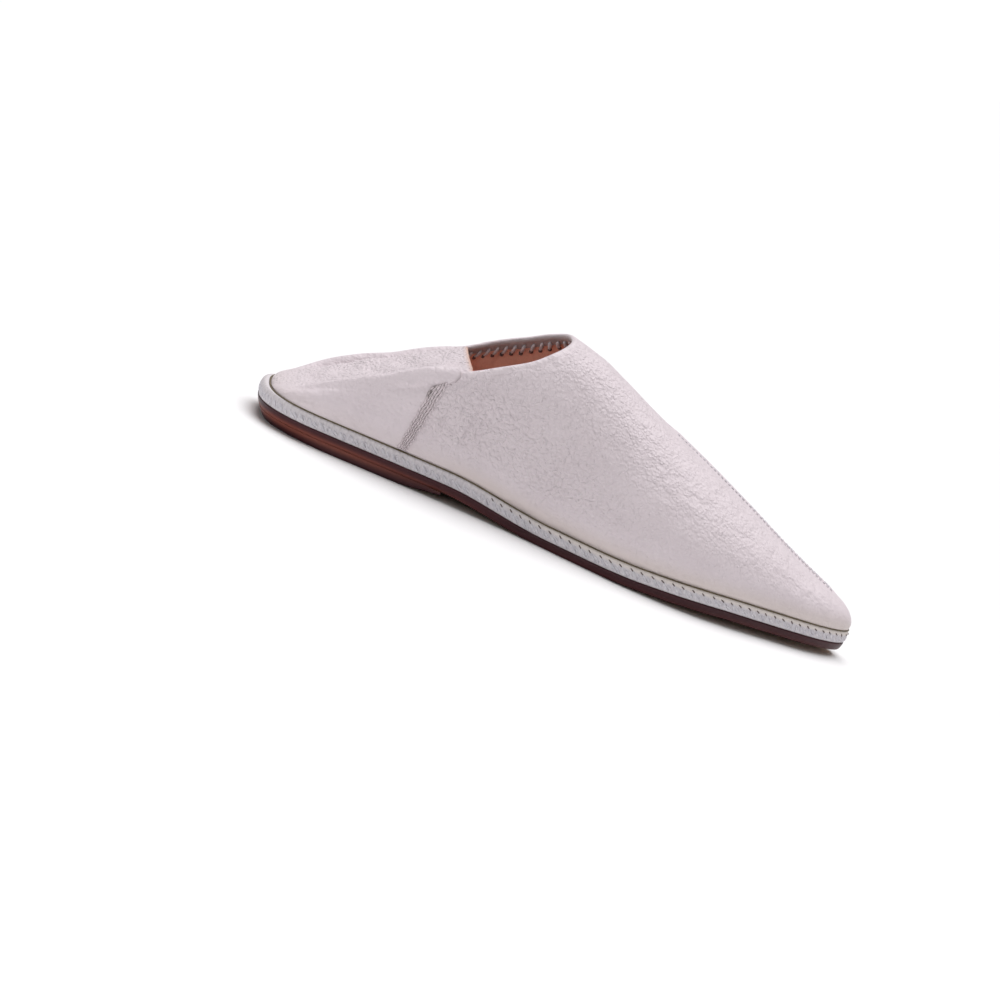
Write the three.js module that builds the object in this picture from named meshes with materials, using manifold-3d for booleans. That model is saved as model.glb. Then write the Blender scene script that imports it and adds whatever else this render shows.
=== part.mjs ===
// A babouche: a heelless leather slipper with a pointed toe and its back folded forward.
// Millimetres. +X runs from heel to toe, +Y is the outer side of this left slipper, +Z is up.
// The origin is on the floor, below the middle of the slipper's length and width.

import * as THREE from 'three';
import { mergeVertices } from 'three/addons/utils/BufferGeometryUtils.js';
import Module from 'manifold-3d';

// ---- driving dimensions -----------------------------------------------------------------

const LENGTH = 280;
const HEEL_DEPTH = 32;
const HEEL_SQUARENESS = 2.7;
const TOE_START = 245;
const TOE_TAPER = 0.5;
const TIP_SWING = -2.5;
const SWING_START = 190;

const LIFT_THICKNESS = 3.6;
const LIFT_FLAT_END = 68;
const LIFT_END = 86;
const LIFT_SKIVE_EDGE = 0.9;
const LIFT_UNDERCUT = 5;
const HEEL_UNDERCUT = 2;
const EDGE_UNDERCUT = 0.9;
const OUTSOLE_THICKNESS = 3.8;
const MIDSOLE_THICKNESS = 5.4;
const INSOLE_THICKNESS = 2;
const INSOLE_INSET = 3.8;
const INSOLE_END_INSET = 12;
const GAP = 0.3;

const WAIST_DROP_START = 85;
const WAIST_DROP_END = 134;
const SPRING_START = 152;
const SPRING_END = 226;
const TOE_SPRING = 3.2;

const WALL = 1.8;
const HOLLOW_START = 2.6;
const FOOT_CLEARANCE = 0.6;
const BASE_TUCK = 1.2;
const HEEL_SETBACK = 3;
const TUCK_HEIGHT = 8;
const NOSE_START = 268;
const FLAP_SAG = 3.5;
const FLAP_EDGE_X = 77;
const THROAT_X = 115;
const MOUTH_HALF_WIDTH = 27;
const MOUTH_SQUARENESS = 2.6;
const MOUTH_FLOOR = 45;
const MOUTH_HEIGHT = 60;

// Half widths of the sole on each side of the centreline, at distances from the heel.
const OUTLINE = [
  { x: 32, inner: 31.5, outer: 32.0 },
  { x: 60, inner: 31.5, outer: 33.0 },
  { x: 90, inner: 32.0, outer: 35.0 },
  { x: 120, inner: 35.5, outer: 39.0 },
  { x: 150, inner: 42.5, outer: 44.5 },
  { x: 176, inner: 48.0, outer: 48.0 },
  { x: 190, inner: 48.3, outer: 48.3 },
  { x: 205, inner: 46.5, outer: 46.0 },
  { x: 222, inner: 41.0, outer: 40.5 },
  { x: 245, inner: 30.5, outer: 30.0 },
];

// Height of the upper's top line above its lower edge, and how square its section is there.
const CROWN = [
  { x: 0, rise: 0.0, square: 2.4 },
  { x: 3, rise: 2.8, square: 2.4 },
  { x: 12, rise: 7.5, square: 3.0 },
  { x: 22, rise: 13.0, square: 4.2 },
  { x: 39, rise: 23.3, square: 6.0 },
  { x: 56, rise: 33.3, square: 7.0 },
  { x: 67, rise: 39.8, square: 7.0 },
  { x: 77, rise: 45.0, square: 6.5 },
  { x: 90, rise: 55.3, square: 4.8 },
  { x: 100, rise: 63.6, square: 3.5 },
  { x: 108, rise: 69.2, square: 2.9 },
  { x: 116, rise: 71.5, square: 2.6 },
  { x: 130, rise: 69.6, square: 2.4 },
  { x: 143, rise: 64.8, square: 2.3 },
  { x: 161, rise: 57.0, square: 2.2 },
  { x: 188, rise: 45.3, square: 2.15 },
  { x: 213, rise: 34.0, square: 2.15 },
  { x: 241, rise: 21.9, square: 2.2 },
  { x: 268, rise: 11.7, square: 2.3 },
  { x: 280, rise: 7.5, square: 2.3 },
];

// ---- curves -------------------------------------------------------------------------------

// A smooth curve through one column of a table; it never passes a row's value between rows.
function columnCurve(rows, column) {
  const last = rows.length - 1;
  const step = (i) => rows[i + 1].x - rows[i].x;
  const slope = (i) => (rows[i + 1][column] - rows[i][column]) / step(i);
  const tangents = rows.map((row, i) => {
    if (i === 0) return slope(0);
    if (i === last) return slope(last - 1);
    if (slope(i - 1) * slope(i) <= 0) return 0;
    const before = 2 * step(i) + step(i - 1);
    const after = step(i) + 2 * step(i - 1);
    return (before + after) / (before / slope(i - 1) + after / slope(i));
  });
  return (x) => {
    let i = rows.findIndex((row) => row.x > x) - 1;
    if (x <= rows[0].x) i = 0;
    else if (i < 0) i = last - 1;
    const t = THREE.MathUtils.clamp((x - rows[i].x) / step(i), 0, 1);
    const fromStart = rows[i][column] * (1 + 2 * t) + tangents[i] * step(i) * t;
    const fromEnd = rows[i + 1][column] * (3 - 2 * t) - tangents[i + 1] * step(i) * (1 - t);
    return fromStart * (1 - t) ** 2 + fromEnd * t ** 2;
  };
}

const columns = {
  inner: columnCurve(OUTLINE, 'inner'),
  outer: columnCurve(OUTLINE, 'outer'),
  rise: columnCurve(CROWN, 'rise'),
  square: columnCurve(CROWN, 'square'),
};

// Half width of the sole: a round heel, the table's sides, then a taper with a round tip.
function halfWidth(x, side) {
  const column = side < 0 ? columns.inner : columns.outer;
  if (x < HEEL_DEPTH) {
    const round = 1 - (1 - x / HEEL_DEPTH) ** HEEL_SQUARENESS;
    return column(HEEL_DEPTH) * round ** (1 / HEEL_SQUARENESS);
  }
  if (x < TOE_START) return column(x);
  const along = (x - TOE_START) / (LENGTH - TOE_START);
  const taper = column(TOE_START) - TOE_TAPER * (x - TOE_START);
  return taper * Math.sqrt(Math.max(0, 1 - along ** 4));
}

// The centreline swings towards the inner side at the tip, as a left slipper's does.
function centreline(x) {
  const along = Math.max(0, x - SWING_START) / (LENGTH - SWING_START);
  return TIP_SWING * along ** 2;
}

// Underside of the outsole: raised on the lift, flat under the ball, sprung at the toe.
function soleHeight(x) {
  const lift = LIFT_THICKNESS + GAP;
  const drop = THREE.MathUtils.smoothstep(x, WAIST_DROP_START, WAIST_DROP_END);
  const spring = THREE.MathUtils.smoothstep(x, SPRING_START, SPRING_END);
  return lift * (1 - drop) + TOE_SPRING * spring;
}

const midsoleBottom = (x) => soleHeight(x) + OUTSOLE_THICKNESS + GAP;
const midsoleTop = (x) => midsoleBottom(x) + MIDSOLE_THICKNESS;
const upperBase = (x) => midsoleTop(x) + GAP;

// Underside of the heel lift: flat on the floor, then skived up to meet the outsole.
function liftBottom(x) {
  const skive = THREE.MathUtils.clamp((x - LIFT_FLAT_END) / (LIFT_END - LIFT_FLAT_END), 0, 1);
  return (LIFT_THICKNESS - LIFT_SKIVE_EDGE) * skive;
}

// Distances from the heel, close together round the heel and round the tip.
function stations(heelSteps, bodySteps, toeSteps) {
  const quarter = Math.PI / 2;
  const list = [];
  for (let i = 0; i < heelSteps; i += 1) {
    list.push(HEEL_DEPTH * (1 - Math.cos((quarter * i) / heelSteps)));
  }
  for (let i = 0; i < bodySteps; i += 1) {
    list.push(HEEL_DEPTH + ((TOE_START - HEEL_DEPTH) * i) / bodySteps);
  }
  for (let i = 0; i <= toeSteps; i += 1) {
    list.push(TOE_START + (LENGTH - TOE_START) * Math.sin((quarter * i) / toeSteps));
  }
  return list;
}

// ---- slabs: outsole, midsole, insole, lift ----------------------------------------------------

// A layer with the sole's outline, between two heights over x. Its lower and upper faces are
// moved in from the outline: each inset is { side, end } in millimetres.
function layerGeometry(xs, bottom, top, lowInset, highInset) {
  const endHalfWidth = 0.4;
  const positions = [];
  const edgePoints = (x, height, inset) => {
    const place = inset.end + ((LENGTH - 2 * inset.end) * x) / LENGTH;
    return [-1, 1].map((side) => {
      const reach = Math.max(halfWidth(x, side) - inset.side, endHalfWidth);
      return [place, centreline(x) + side * reach, height(place)];
    });
  };
  for (const x of xs) {
    const low = edgePoints(x, bottom, lowInset);
    const high = edgePoints(x, top, highInset);
    positions.push(...low[0], ...low[1], ...high[1], ...high[0]);
  }
  const index = [];
  const quad = (a, b, c, d) => index.push(a, b, c, a, c, d);
  const lastRing = (xs.length - 1) * 4;
  quad(0, 3, 2, 1);
  quad(lastRing, lastRing + 1, lastRing + 2, lastRing + 3);
  for (let ring = 0; ring < lastRing; ring += 4) {
    for (let k = 0; k < 4; k += 1) {
      const next = (k + 1) % 4;
      quad(ring + k, ring + next, ring + 4 + next, ring + 4 + k);
    }
  }
  const geometry = new THREE.BufferGeometry();
  geometry.setAttribute('position', new THREE.Float32BufferAttribute(positions, 3));
  geometry.setIndex(index);
  return geometry;
}

// ---- upper ----------------------------------------------------------------------------------

// One point of the upper's outer face: x along the slipper, turn from 0 to pi over the section.
// The section is a superellipse on the sole's outline; its foot tucks in under a full side,
// and the folded back sags between its two rolled edges.
function upperPoint(x, turn) {
  const side = turn < Math.PI / 2 ? -1 : 1;
  const power = 2 / columns.square(x);
  const across = Math.abs(Math.cos(turn)) ** power;
  const noseAlong = Math.max(0, x - NOSE_START) / (LENGTH - NOSE_START);
  const crown = columns.rise(x) * Math.sqrt(Math.max(0, 1 - noseAlong ** 3));
  const sagAlong = Math.sin(Math.PI * THREE.MathUtils.clamp(x / (FLAP_EDGE_X + 12), 0, 1));
  const sag = FLAP_SAG * sagAlong * (1 - across ** 2) ** 2;
  const height = crown * Math.sin(turn) ** power - sag;
  const reach = halfWidth(x, side);
  const tuck = BASE_TUCK * Math.max(0, 1 - height / TUCK_HEIGHT) ** 2;
  const tipward = (x - LENGTH / 2) / (LENGTH / 2);
  const setback = HEEL_SETBACK * Math.max(0, 1 - x / HEEL_DEPTH) ** 2;
  return new THREE.Vector3(
    x + setback - tuck * tipward ** 9,
    centreline(x) + side * across * Math.max(0, reach - tuck * (1 - tipward ** 10)),
    upperBase(x) + height,
  );
}

// The outward normal of the outer face, from small steps along and over it.
function upperNormal(x, turn) {
  const dx = 0.05;
  const dt = 0.01;
  const near = THREE.MathUtils.clamp(x, 0.15, LENGTH - 0.15);
  const along = upperPoint(near + dx, turn).sub(upperPoint(near - dx, turn));
  const low = THREE.MathUtils.clamp(turn, 2 * dt, Math.PI - 2 * dt);
  const over = upperPoint(near, low + dt).sub(upperPoint(near, low - dt));
  return along.cross(over).normalize();
}

// The rings of the outer face, between the points that close it at the heel and at the tip.
function outerRings(xs, turns) {
  return xs.slice(1, -1).map((x) => turns.map((turn) => upperPoint(x, turn)));
}

// The rings of the hollow, a wall's thickness inside the outer face. They start and stop where
// the upper is still high enough to be hollow, and reach below its foot so that it is open there.
function hollowRings(xs, turns) {
  const tall = (x) => upperPoint(x, Math.PI / 2).z - upperBase(x) > HOLLOW_START;
  return xs.filter(tall).map((x) => {
    const ring = turns.map((turn) => {
      const inward = upperNormal(x, turn).negate();
      const point = upperPoint(x, turn).addScaledVector(inward, WALL);
      point.z = Math.max(point.z, upperBase(point.x) + FOOT_CLEARANCE);
      return point;
    });
    const feet = [ring[0], ring[ring.length - 1]].map((point) => point.clone());
    feet.forEach((foot) => foot.setZ(upperBase(foot.x) - WALL));
    return [feet[0], ...ring, feet[1]];
  });
}

// Joins rings of points into one closed solid, with a fan about a middle point at each end.
function loftGeometry(rings, startMiddle, endMiddle) {
  const size = rings[0].length;
  const last = (rings.length - 1) * size;
  const positions = [...rings.flat(), startMiddle, endMiddle].flatMap((p) => [p.x, p.y, p.z]);
  const index = [];
  for (let j = 0; j < size; j += 1) {
    const next = (j + 1) % size;
    for (let ring = 0; ring < last; ring += size) {
      index.push(ring + j, ring + size + j, ring + size + next);
      index.push(ring + j, ring + size + next, ring + next);
    }
    index.push(last + size, j, next);
    index.push(last + size + 1, last + next, last + j);
  }
  const geometry = new THREE.BufferGeometry();
  geometry.setAttribute('position', new THREE.Float32BufferAttribute(positions, 3));
  geometry.setIndex(index);
  return geometry;
}

function middleOf(ring) {
  const sum = ring.reduce((total, point) => total.add(point), new THREE.Vector3());
  return sum.divideScalar(ring.length);
}

// The block that is cut away above the foot's entry: straight at the folded back, a half
// superellipse towards the throat.
function mouthGeometry() {
  const steps = 28;
  const power = 2 / MOUTH_SQUARENESS;
  const points = [];
  for (let i = 0; i <= steps; i += 1) {
    const turn = Math.PI * (i / steps - 0.5);
    const forward = Math.cos(turn) ** power;
    const across = Math.sign(turn) * Math.abs(Math.sin(turn)) ** power;
    points.push(new THREE.Vector2(
      FLAP_EDGE_X + (THROAT_X - FLAP_EDGE_X) * forward,
      MOUTH_HALF_WIDTH * across,
    ));
  }
  const geometry = new THREE.ExtrudeGeometry(new THREE.Shape(points), {
    depth: MOUTH_HEIGHT, bevelEnabled: false,
  });
  geometry.translate(0, 0, MOUTH_FLOOR);
  return geometry;
}

// ---- cutting --------------------------------------------------------------------------------

const wasm = await Module();
wasm.setup();

function toSolid(source) {
  const bare = source.clone();
  bare.deleteAttribute('normal');
  bare.deleteAttribute('uv');
  const merged = mergeVertices(bare, 1e-4);
  return new wasm.Manifold(new wasm.Mesh({
    numProp: 3,
    vertProperties: new Float32Array(merged.attributes.position.array),
    triVerts: new Uint32Array(merged.index.array),
  }));
}

function toGeometry(solid) {
  const mesh = solid.getMesh();
  const geometry = new THREE.BufferGeometry();
  geometry.setAttribute('position', new THREE.BufferAttribute(mesh.vertProperties, 3));
  geometry.setIndex(new THREE.BufferAttribute(mesh.triVerts, 1));
  return geometry;
}

function upperGeometry() {
  const xs = stations(9, 30, 9);
  const across = 28;
  const turns = [];
  for (let j = 0; j <= across; j += 1) turns.push((Math.PI * j) / across);
  const outer = outerRings(xs, turns);
  const between = xs.slice(1).map((x, i) => (x + xs[i]) / 2);
  const hollow = hollowRings(between, turns);
  const body = loftGeometry(outer, upperPoint(0, 0), upperPoint(LENGTH, 0));
  const room = loftGeometry(hollow, middleOf(hollow[0]), middleOf(hollow[hollow.length - 1]));
  return toGeometry(toSolid(body).subtract(toSolid(room)).subtract(toSolid(mouthGeometry())));
}

// ---- materials and assembly --------------------------------------------------------------------

const leathers = {
  sole: new THREE.MeshStandardMaterial({ color: 0x6b3f36, roughness: 0.42, metalness: 0 }),
  ivory: new THREE.MeshStandardMaterial({ color: 0xe4dcd6, roughness: 0.55, metalness: 0 }),
  welt: new THREE.MeshStandardMaterial({ color: 0xd9d4d2, roughness: 0.6, metalness: 0 }),
  lining: new THREE.MeshStandardMaterial({ color: 0xb98263, roughness: 0.65, metalness: 0 }),
};

const slipper = new THREE.Group();

function addPiece(name, geometry, material) {
  geometry.computeVertexNormals();
  const piece = new THREE.Mesh(geometry, material.clone());
  piece.name = name;
  piece.position.x = -LENGTH / 2;
  slipper.add(piece);
}

const soleStations = stations(9, 30, 9);
const liftStations = soleStations.filter((x) => x < LIFT_END).concat(LIFT_END);
const liftTop = () => LIFT_THICKNESS;
const insoleTop = (x) => upperBase(x) + INSOLE_THICKNESS;

const outsoleTop = (x) => soleHeight(x) + OUTSOLE_THICKNESS;
const edge = { side: 0, end: 0 };
const undercut = { side: EDGE_UNDERCUT, end: HEEL_UNDERCUT };
const liftUndercut = { side: EDGE_UNDERCUT, end: LIFT_UNDERCUT };
const inside = { side: INSOLE_INSET, end: INSOLE_END_INSET };
const lift = layerGeometry(liftStations, liftBottom, liftTop, liftUndercut, undercut);
const outsole = layerGeometry(soleStations, soleHeight, outsoleTop, undercut, edge);
const midsole = layerGeometry(soleStations, midsoleBottom, midsoleTop, edge, edge);
const insole = layerGeometry(soleStations, upperBase, insoleTop, inside, inside);

addPiece('heel_lift', lift, leathers.sole);
addPiece('outsole', outsole, leathers.sole);
addPiece('midsole', midsole, leathers.welt);
addPiece('insole', insole, leathers.lining);
addPiece('upper', upperGeometry(), leathers.ivory);

export default slipper;
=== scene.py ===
import math

import bmesh
import bpy
import numpy as np
from mathutils import Matrix, Vector


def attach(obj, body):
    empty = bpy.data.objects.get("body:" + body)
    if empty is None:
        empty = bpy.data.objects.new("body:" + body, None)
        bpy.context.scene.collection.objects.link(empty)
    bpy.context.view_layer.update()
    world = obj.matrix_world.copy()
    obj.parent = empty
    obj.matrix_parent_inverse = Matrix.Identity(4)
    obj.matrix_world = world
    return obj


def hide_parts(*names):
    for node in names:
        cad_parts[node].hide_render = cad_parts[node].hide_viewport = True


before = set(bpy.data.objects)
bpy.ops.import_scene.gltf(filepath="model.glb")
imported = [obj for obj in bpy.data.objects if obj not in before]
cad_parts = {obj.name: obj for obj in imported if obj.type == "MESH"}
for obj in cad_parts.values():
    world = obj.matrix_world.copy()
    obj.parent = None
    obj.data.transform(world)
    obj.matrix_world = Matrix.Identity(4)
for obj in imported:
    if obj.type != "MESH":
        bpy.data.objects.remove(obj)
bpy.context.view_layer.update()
scene = bpy.context.scene

# ---- Outsole and heel lift -----------------------------------------------------------------------
# Brown vegetable-tanned sole leather, cut with a knife, its edge burnished with wax until it
# shines. The lift is a second piece under the heel, skived to nothing where it ends.

LENGTH = 280.0
HEEL_DEPTH = 32.0
HEEL_POWER = 2.7
TOE_START = 245.0
TOE_TAPER = 0.5
OUTLINE_X = np.array([32.0, 60, 90, 120, 150, 176, 190, 205, 222, 245])
INNER_HALF = np.array([31.5, 31.5, 32.0, 35.5, 42.5, 48.0, 48.3, 46.5, 41.0, 30.5])
OUTER_HALF = np.array([32.0, 33.0, 35.0, 39.0, 44.5, 48.0, 48.3, 46.0, 40.5, 30.0])


def smooth_curve(x, xs, ys):
    """Cubic pieces through the points (xs, ys). The slope at a point is the weighted harmonic
    mean of the slopes on its two sides, or zero at a peak, so the curve never overshoots."""
    step = np.diff(xs)
    rise = np.diff(ys) / step
    before = 2 * step[1:] + step[:-1]
    after = step[1:] + 2 * step[:-1]
    same = rise[:-1] * rise[1:] > 0
    safe = np.where(same, rise[:-1] * rise[1:], 1.0)
    mean = (before + after) * safe / (before * rise[1:] + after * rise[:-1] + 1e-12 * ~same)
    slope = np.concatenate([rise[:1], np.where(same, mean, 0.0), rise[-1:]])
    x = np.asarray(x, dtype=float)
    i = np.clip(np.searchsorted(xs, x, side="right") - 1, 0, len(step) - 1)
    t = np.clip((x - xs[i]) / step[i], 0, 1)
    start = ys[i] * (1 + 2 * t) + slope[i] * step[i] * t
    end = ys[i + 1] * (3 - 2 * t) - slope[i + 1] * step[i] * (1 - t)
    return start * (1 - t) ** 2 + end * t**2


def ease(x, low, high):
    """0 below low, 1 above high, and 3t squared less 2t cubed between."""
    t = np.clip((np.asarray(x, dtype=float) - low) / (high - low), 0, 1)
    return t * t * (3 - 2 * t)


def half_width(x, side):
    """Half width of the sole at x: a squarish round heel, the measured sides, then a straight
    taper whose tip is rounded by the root of one less the fourth power."""
    sides = np.where(side < 0, smooth_curve(x, OUTLINE_X, INNER_HALF),
                     smooth_curve(x, OUTLINE_X, OUTER_HALF))
    heel = 1 - np.clip(1 - x / HEEL_DEPTH, 0, 1) ** HEEL_POWER
    tip = np.clip((x - TOE_START) / (LENGTH - TOE_START), 0, 1)
    taper = sides - TOE_TAPER * (x - TOE_START)
    front = taper * np.sqrt(np.clip(1 - tip**4, 0, 1))
    ahead_of_heel = np.where(x < TOE_START, sides, front)
    return np.where(x < HEEL_DEPTH, sides * heel ** (1 / HEEL_POWER), ahead_of_heel)


def centreline(x):
    """The middle of the sole: straight to x 190, then it swings towards the inner side with the
    square of the distance, 2.5 mm at the tip."""
    return -2.5 * (np.clip(x - 190, 0, None) / 90) ** 2


LIFT_HEIGHT = 3.9
TOE_SPRING = 3.2


def sole_height(x):
    """Underside of the outsole: up on the lift, flat under the ball, sprung at the toe."""
    return LIFT_HEIGHT * (1 - ease(x, 85, 134)) + TOE_SPRING * ease(x, 152, 226)


def outline(count):
    """Points evenly spaced round the sole, from the heel along the inner side to the tip and
    back along the outer side, with outward normals: columns x, y, normal x, normal y."""
    u = np.linspace(0, 1, 4000)
    x = LENGTH * (1 - np.cos(np.pi * u)) / 2
    inner = np.stack([x, centreline(x) - half_width(x, -1)], 1)
    outer = np.stack([x, centreline(x) + half_width(x, 1)], 1)[::-1]
    dense = np.concatenate([inner, outer[1:]])
    run = np.concatenate([[0], np.cumsum(np.hypot(*np.diff(dense, axis=0).T))])
    at = np.linspace(0, run[-1], count, endpoint=False)
    point = np.stack([np.interp(at, run, dense[:, 0]), np.interp(at, run, dense[:, 1])], 1)
    along = np.roll(point, -2, 0) - np.roll(point, 2, 0)
    along /= np.linalg.norm(along, axis=1, keepdims=True)
    return np.concatenate([point, np.stack([along[:, 1], -along[:, 0]], 1)], 1)


def grid_faces(rows, columns, closed):
    """Quads between neighbours on a grid; a closed grid also joins its last column to its first."""
    index = np.arange(rows * columns).reshape(rows, columns)
    if closed:
        index = np.concatenate([index, index[:, :1]], 1)
    corners = [index[:-1, :-1], index[1:, :-1], index[1:, 1:], index[:-1, 1:]]
    return np.stack(corners, -1).reshape(-1, 4)


def make_piece(name, points, faces, materials, marks=None, flip=False):
    """One object from points in millimetres from the heel. Marks become point attributes and
    shared points are welded. It rides on the slipper's one body."""
    points = np.asarray(points, dtype=float).reshape(-1, 3)
    faces = np.asarray(faces)
    if flip:
        faces = faces[:, ::-1]
    mesh = bpy.data.meshes.new(name)
    mesh.vertices.add(len(points))
    mesh.vertices.foreach_set("co", ((points - [LENGTH / 2, 0, 0]) / 1000).ravel())
    mesh.loops.add(faces.size)
    mesh.loops.foreach_set("vertex_index", faces.ravel())
    mesh.polygons.add(len(faces))
    mesh.polygons.foreach_set("loop_start", np.arange(0, faces.size, 4))
    mesh.update(calc_edges=True)
    for key, values in (marks or {}).items():
        mark = mesh.attributes.new(key, "FLOAT", "POINT")
        mark.data.foreach_set("value", np.asarray(values, dtype=float).ravel())
    shape = bmesh.new()
    shape.from_mesh(mesh)
    bmesh.ops.remove_doubles(shape, verts=shape.verts, dist=2e-6)
    bmesh.ops.dissolve_degenerate(shape, edges=shape.edges, dist=1e-7)
    shape.to_mesh(mesh)
    shape.free()
    mesh.polygons.foreach_set("use_smooth", np.ones(len(mesh.polygons), dtype=bool))
    for material in materials:
        mesh.materials.append(material)
    piece = bpy.data.objects.new(name, mesh)
    scene.collection.objects.link(piece)
    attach(piece, "root")
    return piece


SPINE = (28, 262)
DRAWN_IN = np.array([0.0, 0.03, 0.12, 0.35, 0.65, 1.0])[:, None, None]


def slab(ring, low, high, inset, share, spine=SPINE, relief=0.0):
    """A closed slab: the ring's points, moved in by inset less relief, at heights that are
    share of the way from low(x) to high(x), closed below and above by rows drawn in to the
    spine, the middle line between two values of x. Gives the points, a mark that is 1 on the
    side and 0 on the faces, and each row's share of the height."""
    x, y, nx, ny = ring.T
    inset = np.broadcast_to(inset, (len(share), len(x))) - relief
    edge = np.stack([x - nx * inset, y - ny * inset], -1)
    middle = np.clip(x, *spine)
    middle = np.stack([middle, centreline(middle)], -1)
    below = (edge[0] * (1 - DRAWN_IN) + middle * DRAWN_IN)[::-1]
    above = edge[-1] * (1 - DRAWN_IN) + middle * DRAWN_IN
    flat = np.concatenate([below[:-1], edge, above[1:]])
    lid = np.zeros(len(DRAWN_IN) - 1)
    level = np.concatenate([lid, share, lid + 1])[:, None]
    z = low(flat[..., 0]) * (1 - level) + high(flat[..., 0]) * level
    side = np.concatenate([lid, np.ones(len(share)), lid])[:, None]
    return np.concatenate([flat, z[..., None]], -1), np.broadcast_to(side, z.shape), level


def round_side(rows, soft_low, soft_high):
    """Share of the height and inset of a side whose lower and upper corners are rounded off
    over soft_low and soft_high millimetres, as quarter circles."""
    share = (1 - np.cos(np.linspace(0, np.pi, rows))) / 2
    low = soft_low * (1 - np.sqrt(np.clip(1 - (1 - share / 0.3).clip(0, 1) ** 2, 0, 1)))
    high = soft_high * (1 - np.sqrt(np.clip(1 - ((share - 0.7) / 0.3).clip(0, 1) ** 2, 0, 1)))
    return share, (low + high)[:, None]


def new_material(name, roughness, **sockets):
    """A material with a bare Principled shader, and constants set on the shader's own sockets."""
    material = bpy.data.materials.new(name)
    material.use_nodes = True
    shader = material.node_tree.nodes["Principled BSDF"]
    shader.inputs["Roughness"].default_value = roughness
    for key, value in sockets.items():
        shader.inputs[key.replace("_", " ")].default_value = value
    return material, material.node_tree, shader


def node(tree, kind, inputs=None, **settings):
    """A node with its settings; inputs gives values, or sockets to link from, by name or number."""
    made = tree.nodes.new(kind)
    for key, value in settings.items():
        setattr(made, key, value)
    for key, value in (inputs or {}).items():
        if isinstance(value, bpy.types.NodeSocket):
            tree.links.new(value, made.inputs[key])
        else:
            made.inputs[key].default_value = value
    return made


def blend_colour(tree, share, first, second):
    """The mix of two colours; share, first and second are values or sockets."""
    mixed = node(tree, "ShaderNodeMix", {0: share, 6: first, 7: second}, data_type="RGBA")
    return mixed.outputs[2]


def group_socket(group, name, way, kind, value=None):
    """One named input or output of a node group."""
    made = group.interface.new_socket(name=name, in_out=way, socket_type="NodeSocket" + kind)
    if value is not None:
        made.default_value = value


# Grain: soft pebbles mixed with softer lumps, the creases between them, and a slow mottle of
# the dye. Every leather of the slipper takes it at its own scale and amount.
grain = bpy.data.node_groups.new("leather grain", "ShaderNodeTree")
group_socket(grain, "Place", "INPUT", "Vector")
group_socket(grain, "Pebbles per metre", "INPUT", "Float", 700.0)
group_socket(grain, "Amount", "INPUT", "Float", 1.0)
group_socket(grain, "Height", "OUTPUT", "Float")
group_socket(grain, "Crease", "OUTPUT", "Float")
group_socket(grain, "Mottle", "OUTPUT", "Float")
inlet = node(grain, "NodeGroupInput")
outlet = node(grain, "NodeGroupOutput")
warp = node(grain, "ShaderNodeTexNoise",
            {"Vector": inlet.outputs[0], "Scale": 420.0, "Detail": 2.0})
centred = node(grain, "ShaderNodeVectorMath", {0: warp.outputs["Color"], 1: (0.5, 0.5, 0.5)},
               operation="SUBTRACT")
pushed = node(grain, "ShaderNodeVectorMath", {0: centred.outputs[0], "Scale": 0.0022},
              operation="SCALE")
moved = node(grain, "ShaderNodeVectorMath", {0: inlet.outputs[0], 1: pushed.outputs[0]},
             operation="ADD")
cells = node(grain, "ShaderNodeTexVoronoi",
             {"Vector": moved.outputs[0], "Scale": inlet.outputs[1], "Smoothness": 0.35},
             feature="SMOOTH_F1")
pebble = node(grain, "ShaderNodeMapRange",
              {0: cells.outputs["Distance"], 1: 0.0, 2: 0.8, 3: 1.0, 4: 0.0})
lumps = node(grain, "ShaderNodeTexNoise",
             {"Vector": moved.outputs[0], "Scale": inlet.outputs[1], "Detail": 1.0, "Roughness": 0.3})
dome = node(grain, "ShaderNodeMix", {0: 0.38, 2: pebble.outputs[0], 3: lumps.outputs[0]})
fine = node(grain, "ShaderNodeTexNoise",
            {"Vector": inlet.outputs[0], "Scale": 2600.0, "Detail": 3.0})
soft = node(grain, "ShaderNodeTexNoise",
            {"Vector": inlet.outputs[0], "Scale": 150.0, "Detail": 2.0})
domes = node(grain, "ShaderNodeMath", {0: dome.outputs[0], 1: inlet.outputs[2]},
             operation="MULTIPLY")
fines = node(grain, "ShaderNodeMath", {0: fine.outputs[0], 1: 0.05}, operation="MULTIPLY")
softs = node(grain, "ShaderNodeMath", {0: soft.outputs[0], 1: 1.8}, operation="MULTIPLY")
first = node(grain, "ShaderNodeMath", {0: domes.outputs[0], 1: fines.outputs[0]}, operation="ADD")
total = node(grain, "ShaderNodeMath", {0: first.outputs[0], 1: softs.outputs[0]}, operation="ADD")
crease = node(grain, "ShaderNodeMath", {0: 1.0, 1: dome.outputs[0]}, operation="SUBTRACT")
creases = node(grain, "ShaderNodeMath", {0: crease.outputs[0], 1: inlet.outputs[2]},
               operation="MULTIPLY")
patches = node(grain, "ShaderNodeTexNoise",
               {"Vector": inlet.outputs[0], "Scale": 55.0, "Detail": 4.0})
grain.links.new(total.outputs[0], outlet.inputs[0])
grain.links.new(creases.outputs[0], outlet.inputs[1])
grain.links.new(patches.outputs[0], outlet.inputs[2])


def add_grain(tree, pebbles, amount):
    """The grain group on a piece's own coordinates, for one material."""
    spot = node(tree, "ShaderNodeTexCoord")
    values = {0: spot.outputs["Object"], 1: pebbles, 2: amount}
    return node(tree, "ShaderNodeGroup", values, node_tree=grain)


def add_bump(tree, shader, height, depth, strength):
    """A bump of depth metres from a height, into the shader's normal."""
    bump = node(tree, "ShaderNodeBump", {"Height": height, "Distance": depth, "Strength": strength})
    tree.links.new(bump.outputs[0], shader.inputs["Normal"])


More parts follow.
